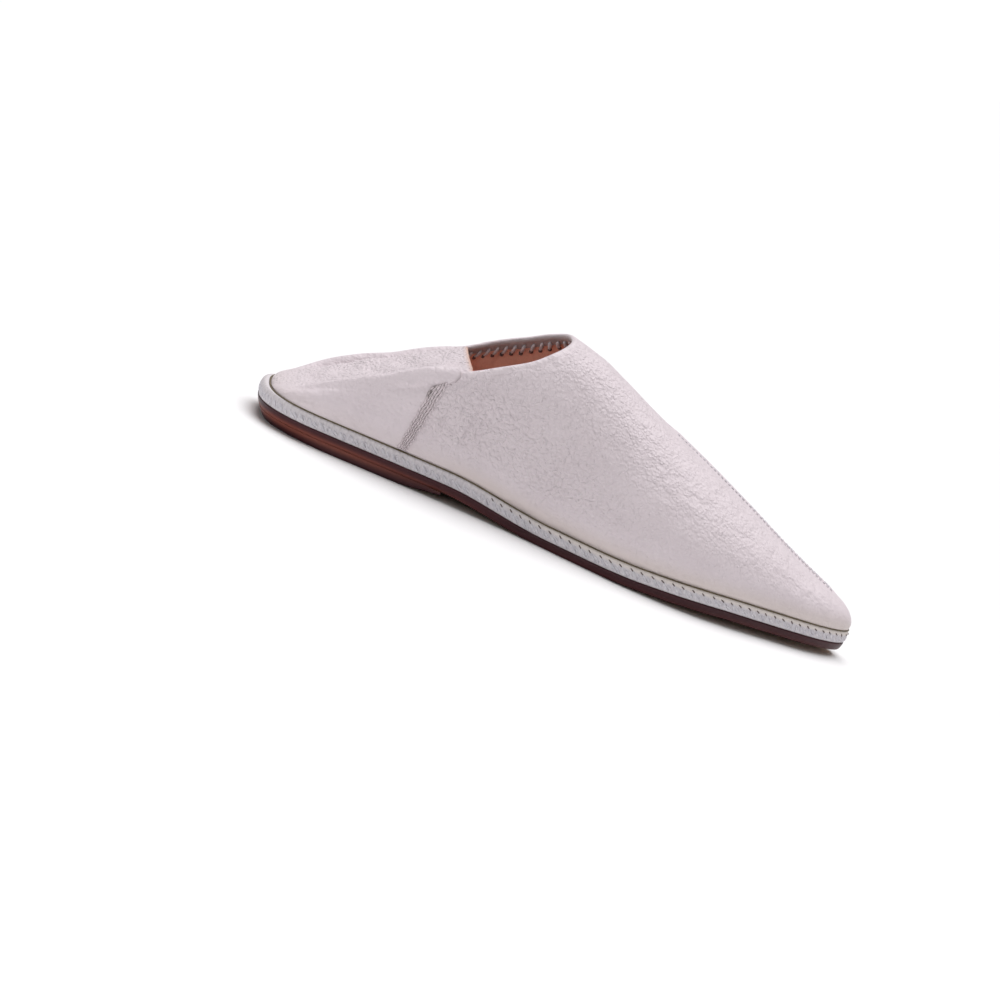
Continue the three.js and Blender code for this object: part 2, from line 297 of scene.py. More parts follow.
# Edge and tread are one material: streaks of wax and dye along the burnished edge, a lighter
# painted highlight band along it, and bare leather where the sole treads.
burnished, tree, shader = new_material("burnished sole leather", 0.36, Coat_Weight=0.08,
                                       Coat_Roughness=0.25, Specular_IOR_Level=0.2)
texture = add_grain(tree, 900.0, 0.25)
place = node(tree, "ShaderNodeTexCoord")
stretch = node(tree, "ShaderNodeMapping", {0: place.outputs["Object"], 3: (18.0, 18.0, 420.0)})
streaks = node(tree, "ShaderNodeTexNoise", {0: stretch.outputs[0], "Scale": 1.0, "Detail": 3.0})
on_side = node(tree, "ShaderNodeAttribute", attribute_name="side")
painted_edge_highlight = node(tree, "ShaderNodeAttribute", attribute_name="painted_edge_highlight")
dyed_edge = blend_colour(tree, streaks.outputs[0],
                         (0.024, 0.006, 0.009, 1), (0.078, 0.019, 0.024, 1))
# The lighter red-brown is a painted highlight along the edge.
edge_with_painted_highlight = blend_colour(tree, painted_edge_highlight.outputs["Fac"], dyed_edge, (0.3, 0.09, 0.06, 1))
tread = blend_colour(tree, texture.outputs[2], (0.23, 0.12, 0.065, 1), (0.36, 0.2, 0.115, 1))
tree.links.new(blend_colour(tree, on_side.outputs["Fac"], tread, edge_with_painted_highlight),
               shader.inputs["Base Color"])
dull = node(tree, "ShaderNodeMapRange", {0: on_side.outputs["Fac"], 1: 0.0, 2: 1.0, 3: 0.72, 4: 0.4})
tree.links.new(dull.outputs[0], shader.inputs["Roughness"])
layers = node(tree, "ShaderNodeMath", {0: streaks.outputs[0], 1: texture.outputs[0]},
              operation="ADD")
add_bump(tree, shader, layers.outputs[0], 0.00012, 0.7)

OUTSOLE_THICK = 3.8


def outsole_top(x):
    """Upper face of the outsole."""
    return sole_height(x) + OUTSOLE_THICK


# The knife wanders a little on its way round, and leans in under the foot, most at the heel.
ring = outline(720)
heelward = 1 - ease(ring[:, 0], 4, 40)
share, rounding = round_side(13, 0.45, 0.35)
wander = 0.12 * np.sin(2 * np.pi * ring[:, 0] / 31) * np.sin(2 * np.pi * ring[:, 0] / 83 + 1)
undercut = (0.9 + 1.1 * heelward) * (1 - share[:, None]) ** 1.3
points, side, level = slab(ring, sole_height, outsole_top, undercut + rounding, share,
                           relief=wander)
# Painted highlight: a lighter band low on the outsole's edge, strongest at the heel.
painted_highlight = np.exp(-((level - 0.12) / 0.3) ** 2) * (1 - 0.9 * ease(ring[:, 0], 30, 120)) * 0.75 * side
outsole = make_piece("outsole_leather", points, grid_faces(*points.shape[:2], True), [burnished],
                     {"side": side, "painted_edge_highlight": painted_highlight})
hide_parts("outsole")

LIFT_END = 86.0
SKIVE_START = 68.0
SKIVE_RISE = 2.7


def lift_underside(x):
    """Flat on the floor, then skived up in a straight slope to the lift's front edge."""
    return SKIVE_RISE * np.clip((x - SKIVE_START) / (LIFT_END - SKIVE_START), 0, 1)


def lift_top(x):
    """Level, pressed a hair into the outsole above."""
    return np.full_like(x, LIFT_HEIGHT + 0.02)


# The back of the sole's outline, closed by a straight cut across at the lift's front.
back = outline(1400)
back = back[back[:, 0] < LIFT_END]
cut = int(np.argmax(np.abs(np.diff(back[:, 1])) > 20)) + 1
front_y = np.linspace(back[cut - 1, 1], back[cut, 1], 60)[1:-1]
front = np.stack([np.full(58, LIFT_END), front_y, np.ones(58), np.zeros(58)], 1)
ring = np.concatenate([back[:cut], front, back[cut:]])
heelward = 1 - ease(ring[:, 0], 4, 40)
share, rounding = round_side(11, 0.7, 0.0)
slope = 0.9 + 3.0 * heelward * (1 - share[:, None])
inset = 1.1 * heelward + slope * (1 - ease(ring[:, 0], 78, LIFT_END)) + rounding
points, side, level = slab(ring, lift_underside, lift_top, inset, share, (28, 80))
# Painted highlight: a lighter band along the top of the lift's edge, strongest at the heel.
painted_highlight = np.exp(-((level - 1.0) / 0.42) ** 2) * (1 - 0.8 * ease(ring[:, 0], 40, 86)) * 0.8 * side
lift = make_piece("heel_lift_leather", points, grid_faces(*points.shape[:2], True), [burnished],
                  {"side": side, "painted_edge_highlight": painted_highlight})
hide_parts("heel_lift")

# ---- Midsole and its wrapped band ----------------------------------------------------------------
# A leather filler between the outsole and the upper, wrapped in a strip of thin ivory leather
# that is drawn over its edge and whipped down by hand, so it puckers most at the back.

BAND_FOOT = 3.85
BAND_TOP = 9.5
PUCKER_PITCH = 3.05


def band_low(x):
    """Lower face of the midsole, a hair above the outsole."""
    return sole_height(x) + BAND_FOOT


def band_high(x):
    """Upper face of the midsole."""
    return sole_height(x) + BAND_TOP


band_leather, tree, shader = new_material("band leather", 0.6)
texture = add_grain(tree, 900.0, 0.7)
clean = blend_colour(tree, texture.outputs[2], (0.7, 0.66, 0.7, 1), (0.84, 0.8, 0.82, 1))
dusty = blend_colour(tree, texture.outputs[1], clean, (0.6, 0.56, 0.6, 1))
lip = node(tree, "ShaderNodeAttribute", attribute_name="lip")
wrapped = blend_colour(tree, lip.outputs["Fac"], dusty, (0.79, 0.72, 0.68, 1))
# Painted shade: the band is darkened in its pucker furrows and where it meets the outsole and the
# upper.
painted_band_shade = node(tree, "ShaderNodeAttribute", attribute_name="painted_band_shade")
tree.links.new(blend_colour(tree, painted_band_shade.outputs["Fac"], wrapped, (0.2, 0.165, 0.14, 1)),
               shader.inputs["Base Color"])
add_bump(tree, shader, texture.outputs[0], 0.0003, 0.8)

# The puckers are a wave round the edge whose phase wanders and leans with the height. Shade is
# painted into their furrows, along the foot and along the top of the band.
ring = outline(1500)
run = np.arange(1500) * 0.41
share, rounding = round_side(17, 0.55, 0.9)
crowding = 0.35 + 0.65 * (1 - ease(ring[:, 0], 90, 170))
wander = 1.3 * np.sin(run / 11.0) + 0.9 * np.sin(run / 4.3 + 2)
phase = 2 * np.pi * run / PUCKER_PITCH + wander
pucker = 0.3 * crowding * np.sin(phase + 2.6 * share[:, None]) * np.sin(np.pi * share)[:, None]
points, side, level = slab(ring, band_low, band_high, rounding, share, relief=pucker)
painted_foot_shade = 0.5 * side * np.clip(0.75 - level * 6, 0, 1)
painted_top_shade = 0.25 * side * np.clip(level * 9 - 8.4, 0, 1)
painted_furrow_shade = 0.35 * side * np.clip(np.sin(phase + 2.2) - 0.55, 0, 1) * crowding
marks = {"painted_band_shade": painted_foot_shade + painted_top_shade + painted_furrow_shade,
         "lip": ease(level, 0.62, 0.74) * (0.2 + 0.8 * ease(ring[:, 0], 90, 150))}
band = make_piece("midsole_band", points, grid_faces(*points.shape[:2], True), [band_leather],
                  marks)
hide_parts("midsole")


def stitch_points(start, end, outward, radius, lift_by, flat=0.7, rows=7, columns=8):
    """Short threads from start to end (count, xyz), bowed outward by lift_by: at share u along,
    the middle is the straight point plus lift_by sine pi u, and round it runs an ellipse whose
    radius is the root of one less the fourth power of 2u - 1."""
    u = np.linspace(0, 1, rows)[None, :, None]
    along = end - start
    along = along / np.linalg.norm(along, axis=1, keepdims=True)
    across = np.cross(along, outward)
    across = across / np.linalg.norm(across, axis=1, keepdims=True)
    up = np.cross(across, along)
    middle = start[:, None] * (1 - u) + end[:, None] * u + up[:, None] * lift_by * np.sin(np.pi * u)
    size = radius * np.sqrt(np.clip(1 - (2 * u - 1) ** 4, 0, 1))
    turn = np.linspace(0, 2 * np.pi, columns, endpoint=False)[None, None, :, None]
    ring_of = np.cos(turn) * across[:, None, None] + flat * np.sin(turn) * up[:, None, None]
    return middle[:, :, None] + size[:, :, None] * ring_of


def sew(name, stitches, material):
    """One piece from many threads (count, rows, columns, xyz): the closed grid of one thread,
    repeated for each of them."""
    count, rows, columns = stitches.shape[:3]
    one = grid_faces(rows, columns, True)
    faces = one[None] + (np.arange(count) * rows * columns)[:, None, None]
    make_piece(name, stitches, faces.reshape(-1, 4), [material])


def fibrous_material(name, roughness, scale, detail, dark, light, bump=None, **sockets):
    """A material whose colour runs from dark to light with a noise on the piece's own
    coordinates; bump gives the depth and strength with which the same noise raises it."""
    material, tree, shader = new_material(name, roughness, **sockets)
    place = node(tree, "ShaderNodeTexCoord")
    fibre = node(tree, "ShaderNodeTexNoise",
                 {0: place.outputs["Object"], "Scale": scale, "Detail": detail})
    tree.links.new(blend_colour(tree, fibre.outputs[0], dark, light), shader.inputs["Base Color"])
    if bump:
        add_bump(tree, shader, fibre.outputs[0], *bump)
    return material


thread = fibrous_material("ivory thread", 0.62, 620.0, 5.0, (0.4, 0.375, 0.44, 1),
                          (0.92, 0.89, 0.9, 1), (0.0003, 0.9), Sheen_Weight=0.15)
needle_dark = fibrous_material("needle hole shadow", 0.85, 900.0, 2.0, (0.09, 0.066, 0.065, 1),
                               (0.2, 0.155, 0.145, 1))

# Each group of strands is three threads side by side, slanting down to the next group.
STRAND_PITCH = 4.5
EDGE_RUN = 610
every = outline(int(EDGE_RUN / STRAND_PITCH))
following = np.roll(every, -1, 0)


def on_band(step, share_up, out):
    """Points on the band's face, one for each group: step of the way to the next group, at
    share_up of the band's height, standing out from the face by out."""
    x, y, nx, ny = (every * (1 - step) + following * step).T
    share_up = np.ravel(share_up)
    z = band_low(x) * (1 - share_up) + band_high(x) * share_up
    return np.stack([x + nx * out, y + ny * out, z], 1)


# Of each thread: its start along and up the band, its end along and up, and its radius.
STRANDS = ((0.04, 0.66, 0.72, 0.12, 0.62), (0.5, 0.58, 1.12, 0.16, 0.5), (0.28, 0.44, 0.94, 0.08, 0.4))
HAND_SLACK = 0.07
GAPS_FROM = 104
face_out = np.stack([every[:, 2], every[:, 3], np.zeros(len(every))], 1)
hand = np.random.default_rng(7).uniform(-HAND_SLACK, HAND_SLACK, (4, len(every), 1))
strands = []
for from_step, from_up, to_step, to_up, radius in STRANDS:
    start = on_band(from_step + hand[0], from_up + hand[1], -0.1)
    end = on_band(to_step + hand[2], to_up + 0.6 * hand[3], -0.12)
    strands.append(stitch_points(start, end, face_out, radius, 0.2))
sew("band_stitches", np.concatenate(strands), thread)
gap_start = on_band(hand[0] - 0.22, 0.8 + 0.5 * hand[1], -0.03)
gap_end = on_band(hand[0] + 0.2 + hand[2], 0.58 + 0.5 * hand[3], 0.05)
gaps = stitch_points(gap_start, gap_end, face_out, 0.26, 0.08, rows=5, columns=6)
sew("band_needle_gaps", gaps[every[:, 0] > GAPS_FROM], needle_dark)


def tube_points(path, across, up, wide, high, columns=10):
    """A section for each point of a path: an ellipse of radii wide and high round it."""
    turn = np.linspace(0, 2 * np.pi, columns, endpoint=False)[None, :, None]
    return path[:, None] + wide * np.cos(turn) * across[:, None] + high * np.sin(turn) * up[:, None]


# The lasting seam: a dark waxed cord that draws the upper's foot down on the band.
waxed = fibrous_material("waxed cord", 0.5, 380.0, 3.0, (0.06, 0.045, 0.022, 1),
                         (0.19, 0.14, 0.075, 1), (0.0003, 0.8))
SEAM_INSET = 0.55
ring = outline(900)
heel_setback = 2.6 * np.clip(1 - ring[:, 0] / HEEL_DEPTH, 0, 1) ** 2
path = np.stack([ring[:, 0] - ring[:, 2] * (SEAM_INSET + heel_setback),
                 ring[:, 1] - ring[:, 3] * SEAM_INSET, band_high(ring[:, 0]) + 0.16], 1)
outward = np.stack([ring[:, 2], ring[:, 3], np.zeros(len(ring))], 1)
upward = np.broadcast_to(np.array([0.0, 0, 1]), outward.shape)
points = tube_points(path, outward, upward, 0.42, 0.27)
points = np.concatenate([points, points[:1]])
make_piece("lasting_seam", points, grid_faces(*points.shape[:2], True), [waxed])

# ---- Insole --------------------------------------------------------------------------------------
# The footbed is tan sheepskin, the same as the upper's lining. It is glued over the midsole
# before lasting, and keeps the shape that the frame gives it.

lining, tree, shader = new_material("tan lining leather", 0.66)
texture = add_grain(tree, 1100.0, 0.5)
tan = blend_colour(tree, texture.outputs[2], (0.94, 0.47, 0.35, 1), (0.98, 0.64, 0.51, 1))
tree.links.new(blend_colour(tree, texture.outputs[1], tan, (0.78, 0.38, 0.29, 1)),
               shader.inputs["Base Color"])
add_bump(tree, shader, texture.outputs[0], 0.0002, 0.6)
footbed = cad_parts["insole"]
footbed.data.materials.clear()
footbed.data.materials.append(lining)

# ---- Vamp ----------------------------------------------------------------------------------------
# One sheet of pebbled ivory leather over the front of the foot, lined in tan. It is lasted
# wet over a pointed form; its middle is drawn together by the ridge seam over the toes.

CROWN_X = np.array([0.0, 3, 12, 22, 39, 56, 67, 77, 90, 100, 108, 116, 130, 143, 161, 188, 213,
                    241, 268, 280])
CROWN_RISE = np.array([0.0, 2.8, 7.5, 13.0, 23.3, 33.3, 39.8, 45.0, 55.3, 63.6, 69.2, 71.5,
                       69.6, 64.8, 57.0, 45.3, 34.0, 21.9, 11.7, 7.5])
CROWN_SQUARE = np.array([2.4, 2.4, 3.0, 4.2, 6.0, 7.0, 7.0, 6.5, 4.8, 3.5, 2.9, 2.6, 2.4, 2.3,
                         2.2, 2.15, 2.15, 2.2, 2.3, 2.3])
UPPER_FOOT = 9.8
FLAP_EDGE_X = 77.0
THROAT_X = 115.0
MOUTH_HALF = 27.0
MOUTH_POWER = 2.6


def upper_base(x):
    """Height of the upper's foot."""
    return sole_height(x) + UPPER_FOOT


def section(x, turn):
    """Share of the half width and of the height at an angle from the inner side over the top:
    the point of a superellipse on that bearing, its power read from the crown's table."""
    power = smooth_curve(x, CROWN_X, CROWN_SQUARE)
    cos, sin = np.abs(np.cos(turn)), np.abs(np.sin(turn))
    reach = (cos**power + sin**power) ** (-1 / power)
    return cos * reach, sin * reach


def side_of(turn):
    """-1 where a bearing is on the inner side, 1 where it is on the outer."""
    return np.where(np.cos(turn) > 0, -1.0, 1.0)


def aside_and_height(x, turn):
    """Millimetres of a point from the middle line, and above the upper's foot: the section's
    shares times the sole's half width and the crown's height."""
    across, up = section(x, turn)
    return across * half_width(x, side_of(turn)), up * smooth_curve(x, CROWN_X, CROWN_RISE)


def upper_point(x, turn):
    """Outer face of the upper: the section's shares times the sole's half width and the
    crown's height, sagging between the folds at the back, its foot tucked in on the band."""
    side = side_of(turn)
    across, up = section(x, turn)
    nose = np.clip((x - 268) / 12, 0, 1)
    crown = smooth_curve(x, CROWN_X, CROWN_RISE) * np.sqrt(np.clip(1 - nose**3, 0, 1))
    sag = 3.5 * np.sin(np.pi * np.clip(x / 89, 0, 1)) * (1 - across**2) ** 2
    height = crown * up - sag
    tuck = 0.7 * np.clip(1 - height / 5, 0, None) ** 2
    tipward = (x - 140) / 140
    reach = np.clip(half_width(x, side) - tuck * (1 - tipward**10), 0, None)
    back = 3.0 * np.clip(1 - x / HEEL_DEPTH, 0, None) ** 2
    return np.stack([x + back - tuck * tipward**9, centreline(x) + side * across * reach,
                     upper_base(x) + height], -1)


def upper_normal(x, turn):
    """Outward normal of that face, from small steps along it and over it."""
    near = np.clip(x, 0.3, LENGTH - 0.3)
    low = np.clip(turn, 0.004, np.pi - 0.004)
    low = np.where(np.abs(low - np.pi / 2) < 0.003, np.pi / 2, low)
    along = upper_point(near + 0.15, low) - upper_point(near - 0.15, low)
    over = upper_point(near, low + 0.003) - upper_point(near, low - 0.003)
    made = np.cross(along, over)
    return made / np.clip(np.linalg.norm(made, axis=-1, keepdims=True), 1e-9, None)


def on_upper(x, turn, proud):
    """A point that stands proud of the outer face by so many millimetres."""
    return upper_point(x, turn) + upper_normal(x, turn) * np.asarray(proud)[..., None]


def mouth_half(x):
    """Half width of the foot's entry: straight behind the flap's edge, then a superellipse."""
    share = np.clip((x - FLAP_EDGE_X) / (THROAT_X - FLAP_EDGE_X), 0, 1)
    return MOUTH_HALF * (1 - share**MOUTH_POWER) ** (1 / MOUTH_POWER)


def rim_turn(x, side):
    """Bearing at which the section reaches the mouth's half width."""
    across = np.clip(mouth_half(x) / np.maximum(half_width(x, side), 1.0), 0, 0.999)
    power = smooth_curve(x, CROWN_X, CROWN_SQUARE)
    return np.arctan2((1 - across**power) ** (1 / power), across)


# Of each crease beside the side seam: its x, its lean, the heights it runs between, its width
# and its depth.
LASTING_CREASES = ((73.5, 0.10, 8, 36, 1.4, 0.6), (80.5, 0.04, 14, 44, 1.3, 0.7),
                   (86.0, 0.03, 11, 46, 1.3, 1.15), (90.0, -0.02, 17, 52, 1.5, 0.8),
                   (97.0, -0.2, 6, 30, 5.0, 0.3))


def trough(x, height, at, lean, low, high, width, depth):
    """A soft crease: a bell across a leaning line, fading in and out between two heights."""
    line = at + lean * (height - low)
    fade = ease(height, low - 4, low + 4) * (1 - ease(height, high - 6, high + 6))
    return -depth * fade * np.exp(-(((x - line) / width) ** 2))


SEAM_START = 173.0
SEAM_END = 268.0
FIRST_HOLE = 4.0
HOLE_PITCH = 7.4


def seam_window(x):
    """1 along the ridge seam, fading out beyond its two ends."""
    return ease(x, SEAM_START - 7, SEAM_START + 3) * (1 - ease(x, SEAM_END - 5, SEAM_END + 3))


def seam_hole(x):
    """1 in the middle of each slit of the ridge seam, 0 between slits."""
    return ease(np.cos(2 * np.pi * (x - SEAM_START - FIRST_HOLE) / HOLE_PITCH), 0.0, 0.75)


def vamp_relief(x, turn):
    """Millimetres added to the vamp: two lips and a slit along the ridge seam, lasting
    creases beside the side seams, and shallow dents where the leather relaxed."""
    aside, height = aside_and_height(x, turn)
    lips = np.where(side_of(turn) < 0, 0.4, 0.6) * np.exp(-(((aside - 2.0) / 0.85) ** 2))
    slit = -(0.75 + 0.9 * seam_hole(x)) * np.exp(-((aside / 0.95) ** 2))
    pinch = 0.1 * np.exp(-((aside / 4.5) ** 2))
    relief = (lips + slit + pinch) * seam_window(x)
    for crease in LASTING_CREASES:
        relief += trough(x, height, *crease)
    relief += 0.3 * np.sin(x / 15.0 + height / 9.0) * np.sin(height / 13.0 + 1) * ease(height, 4, 14)
    return relief * ease(height, 0.0, 3.0)


ivory, tree, shader = new_material("pebbled ivory leather", 0.5, Sheen_Weight=0.2,
                                   Sheen_Roughness=0.35)
amount = node(tree, "ShaderNodeAttribute", attribute_name="grain")
texture = add_grain(tree, 700.0, amount.outputs["Fac"])
clean = blend_colour(tree, texture.outputs[2], (0.77, 0.68, 0.722, 1), (0.862, 0.772, 0.815, 1))
creased = node(tree, "ShaderNodeMath", {0: texture.outputs[1], 1: 0.2}, operation="MULTIPLY")
worn = blend_colour(tree, creased.outputs[0], clean, (0.64, 0.55, 0.57, 1))
warm = node(tree, "ShaderNodeAttribute", attribute_name="warm")
cream = blend_colour(tree, warm.outputs["Fac"], worn, (0.7, 0.6, 0.5, 1))
bare = node(tree, "ShaderNodeAttribute", attribute_name="bare")
cut_edge = blend_colour(tree, bare.outputs["Fac"], cream, (0.72, 0.46, 0.35, 1))
# The dark mark is painted shade: in the ridge seam's slits, along the upper's foot, in the flap's
# crevice and groove, in the braid's gaps and on the collar's inner turning.
dark = node(tree, "ShaderNodeAttribute", attribute_name="dark")
tree.links.new(blend_colour(tree, dark.outputs["Fac"], cut_edge, (0.1, 0.07, 0.055, 1)),
               shader.inputs["Base Color"])
rough = node(tree, "ShaderNodeMapRange", {0: texture.outputs[1], 1: 0.0, 2: 1.0, 3: 0.46, 4: 0.68})
tree.links.new(rough.outputs[0], shader.inputs["Roughness"])
add_bump(tree, shader, texture.outputs[0], 0.0008, 0.95)


def leather_marks(x, turn):
    """Amount of grain, warm tone and painted shade at points of the upper: the grain is
    pulled smooth at the toe, foot and seams, the foot is creamier, and shade is painted into
    the ridge seam's slits and along the line above the lasting seam."""
    aside, height = aside_and_height(x, turn)
    forward = (1 - 0.6 * ease(x, 125, 190)) * (1 - ease(x, 205, 262))
    fullness = 0.3 + 0.95 * ease(height, 3, 16) * forward
    fullness = fullness * (1 - 0.3 * ease(height, 44, 60))
    fullness = fullness * (1 - 0.55 * seam_window(x) * (1 - ease(aside, 3, 9)))
    warmth_at = (0.12 + 0.3 * ease(x, 60, 110)) * (1 - ease(height, 0.5, 9)) + 0.06
    # Painted shade in the ridge seam's slits and on the line along the upper's foot.
    slit = 0.9 * seam_window(x) * seam_hole(x) * np.exp(-((aside / 1.05) ** 4))
    foot_line = 0.2 * (1 - ease(height, 0.0, 0.5))
    return {"grain": fullness, "warm": warmth_at, "dark": slit + foot_line}


def side_seam_x(share):
    """Where the quarter meets the vamp, by the share of the way up from foot to fold."""
    return np.interp(share, [0, 0.5, 0.84, 1.0], [62.0, 64.2, 65.8, 66.5])


WALL = 0.0018


def line_leather(piece):
    """Gives a sheet its wall, inwards: the inner face takes the piece's second material, the
    lining, and the rim takes its third."""
    wall = piece.modifiers.new("lined wall", "SOLIDIFY")
    wall.thickness = WALL
    wall.offset = -1
    wall.use_even_offset = False
    wall.material_offset = 1
    wall.material_offset_rim = 2


# Each side is a sheet from the foot up: first to the flap's edge behind, then to the mouth's
# rim beside it, then to the middle line ahead, where the two sides are welded.
columns = 1 - (1 - np.linspace(0, 1, 56)) ** 1.6
back_rows = np.linspace(0, 1, 27)[:-1, None]
start_x = side_seam_x(columns)[None] - 1.5
behind = start_x + (FLAP_EDGE_X - start_x) * back_rows
beside = FLAP_EDGE_X + (THROAT_X - FLAP_EDGE_X) * (1 - (1 - np.linspace(0, 1, 62)) ** 1.8)
middle = np.concatenate([np.linspace(THROAT_X, 168, 30)[1:], np.linspace(168, 272, 190)[1:]])
nose = 272 + 8 * np.sin(np.linspace(0, np.pi / 2, 16))[1:]
ahead = np.concatenate([beside, middle, nose])[:, None]
x = np.concatenate([behind, np.broadcast_to(ahead, (len(ahead), len(columns)))])
sheets = []
for side in (-1, 1):
    top = np.where(x < THROAT_X, rim_turn(x, side), np.pi / 2)
    turn = top * columns[None]
    turn = turn if side < 0 else np.pi - turn
    proud = vamp_relief(x, turn) - 0.25 * (1 - ease(x, 64, 68))
    sheets.append((on_upper(x, turn, proud), grid_faces(*x.shape, False), leather_marks(x, turn)))
size = x.size
points = np.concatenate([sheets[0][0].reshape(-1, 3), sheets[1][0].reshape(-1, 3)])
faces = np.concatenate([sheets[0][1], sheets[1][1][:, ::-1] + size])
marks = {k: np.concatenate([sheets[0][2][k].ravel(), sheets[1][2][k].ravel()]) for k in sheets[0][2]}
vamp = make_piece("vamp", points, faces, [ivory, lining, ivory], marks)
line_leather(vamp)
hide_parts("upper")

# ---- Quarters and folded back --------------------------------------------------------------------
# One strip of the same leather runs round the heel. Its back edge is trodden forward and lies
# flat, so the outer face shows between two soft folds and the cut edge crosses in front.

edge_tan = fibrous_material("cut leather edge", 0.7, 1500.0, 3.0, (0.52, 0.33, 0.24, 1),
                            (0.74, 0.54, 0.42, 1), (0.0002, 0.7))

FOLD_TURN = 0.846
EDGE_ROLL = 2.2
HEEL_CREASES = ((46, 0.25, 12, 30, 6.0, 0.5), (30, 0.3, 4, 18, 5.0, 0.35))


def flap_front(share):
    """Front edge of the strip: share 0 at the foot, 1 on the fold, more on the flap's top."""
    return np.interp(share, [0, 0.5, 0.8, 0.83, 0.865, 0.91, 0.97, 1.05, 1.1, 1.17, 2.2],
                     [62.0, 64.2, 65.6, 70.6, 73.4, 74.4, 74.0, 72.6, 73.6, 77.0, 77.0])


# A grid over the heel from foot to foot, whose rows run forward to the strip's front edge. The
# folds stand proud and a groove runs inside them; the tab at their front is rolled over, and
# what lies between them is pressed down and wrinkled.
columns = np.linspace(0, np.pi, 181)[None]
lengthwise = np.linspace(0, 1, 120)[:, None] ** 1.55
share = np.minimum(columns, np.pi - columns) / FOLD_TURN
edge_x = flap_front(share)
x = edge_x * lengthwise
turn = np.broadcast_to(columns, x.shape)
height = aside_and_height(x, turn)[1]
to_edge = edge_x - x
far = ease(-np.cos(columns), -0.2, 0.2)
fold = np.exp(-(((share - 1.0) / 0.075) ** 2)) * ease(x, 6, 30) * (1 - 0.6 * ease(x, 60, 70))
fold = fold * (1 - 0.7 * far * ease(x, 30, 55))
groove = np.exp(-(((share - 1.13) / 0.045) ** 2)) * ease(x, 8, 24)
tab = ease(share, 0.8, 0.9) * (1 - ease(share, 0.97, 1.08)) * ease(x, 40, 62)
sunk = ease(share, 1.03, 1.16) * ease(x, 64, 75) * (1 - 0.45 * ease(share, 1.3, 1.8))
roll_off = np.sqrt(np.clip(1 - np.clip(1 - to_edge / EDGE_ROLL, 0, 1) ** 2, 0, 1))
proud = 2.1 * fold + 1.7 * tab * (1 - 0.75 * far)
rolled = proud * roll_off - 1.1 * (1 - roll_off) * ease(share, 0.78, 0.9)
proud = np.where(share < 1.2, rolled, proud)
proud = proud - 1.5 * groove - 2.1 * sunk * ease(np.cos(columns), -0.35, 0.5)
on_top = ease(share, 1.05, 1.3)
wrinkle = 0.405 * np.sin(x / 3.1 + 2.2 * np.sin(turn * 3.0 + 1) + 1.5 * np.sin(x / 9.0))
wrinkle += 0.27 * np.sin(x / 1.9 + 3 * np.sin(turn * 5.0) + turn * 7)
proud = proud + wrinkle * on_top * ease(x, 8, 26) * (1 - 0.6 * ease(x, 66, 76))
for crease in HEEL_CREASES:
    proud = proud + trough(x, height, *crease)
proud = proud - 0.5 * np.exp(-(((share - 0.8) / 0.07) ** 2)) * ease(x, 14, 50)
marks = leather_marks(x, turn)
marks["grain"] = 0.25 + 0.85 * on_top + 0.2 * ease(height, 6, 20)
# Painted shade: dark in the crevice at the tab's end, faintly in the groove inside the fold, and along
# the foot.
crevice = np.exp(-((to_edge / 0.8) ** 2)) * ease(share, 0.76, 0.84) * (1 - ease(share, 0.99, 1.06))
marks["dark"] = np.clip(0.2 * (1 - ease(height, 0.0, 0.5)) + 0.7 * crevice + 0.04 * groove, 0, 1)
marks["bare"] = (1 - ease(to_edge, 0.5, 1.3)) * ease(share, 1.1, 1.2)
quarter = make_piece("quarter_and_flap", on_upper(x, turn, proud), grid_faces(*x.shape, False),
                     [ivory, lining, edge_tan], marks)
line_leather(quarter)
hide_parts("upper")

# ---- Side seams ----------------------------------------------------------------------------------
# On each side the strip is joined to the vamp with rows of close plaited hand stitching, which
# stand up as a narrow corded braid from the foot to just below the fold.

BRAID_WIDTH = 4.6
BRAID_LENGTH = 33.0
BRAID_ROWS = 5
PLAIT_PITCH = 1.9
for name, side in (("side_seam_inner", -1), ("side_seam_outer", 1)):
    up_it = np.linspace(0.0, 1.0, 150)[:, None]
    over_it = np.linspace(-0.5, 0.5, 41)[None]
    turn = 0.012 + (0.70 + 0.06 * over_it) * up_it
    taper = 0.96 + 0.34 * up_it
    sway = 0.22 * np.sin(28.0 * up_it + 5.0 * over_it)
    x = side_seam_x(turn / FOLD_TURN) + 1.2 + over_it * BRAID_WIDTH * taper + sway
    turn = turn if side < 0 else np.pi - turn
    row = (over_it + 0.5) * BRAID_ROWS
    which = np.floor(row.clip(0, BRAID_ROWS - 0.001))
    in_row = row - which
    length = up_it * BRAID_LENGTH
    slant = np.where(which % 2 == 0, 0.9, -0.9)
    cord = np.sqrt(np.clip(1 - (2 * in_row - 1) ** 2, 0, 1))
    strand = np.abs(np.sin(np.pi * (length / PLAIT_PITCH + slant * in_row + 0.35 * which)))
    proud = 0.05 + 0.6 * cord + 0.6 * cord * strand
    proud = proud * ease(up_it, 0.0, 0.03) * (1 - ease(up_it, 0.975, 1.0))
    proud = proud - 0.35 * (np.abs(over_it) > 0.497)
    rough_gap = 0.5 + 0.5 * np.sin(length * 2.1 + which * 1.9) * np.sin(length * 0.83 + 1.3 * which)
    pit = (1 - cord) ** 2 * (0.35 + 0.7 * rough_gap) + 0.8 * (1 - strand) ** 2
    open_corner = 1.6 * ease(up_it, 0.78, 0.95) * (over_it < -0.2)
    pit = pit + rough_gap * (open_corner + 0.7 * ease(up_it, 0.95, 1.0))
    # The braid's dark mark is painted shade in the gaps between its cords and in its open top corner.
    marks = {"grain": np.zeros(x.shape), "warm": np.full(x.shape, 0.1),
             "dark": np.clip(pit * 0.48, 0, 0.8)}
    make_piece(name, on_upper(x, turn, proud), grid_faces(*x.shape, False), [ivory],
               marks, flip=side > 0)

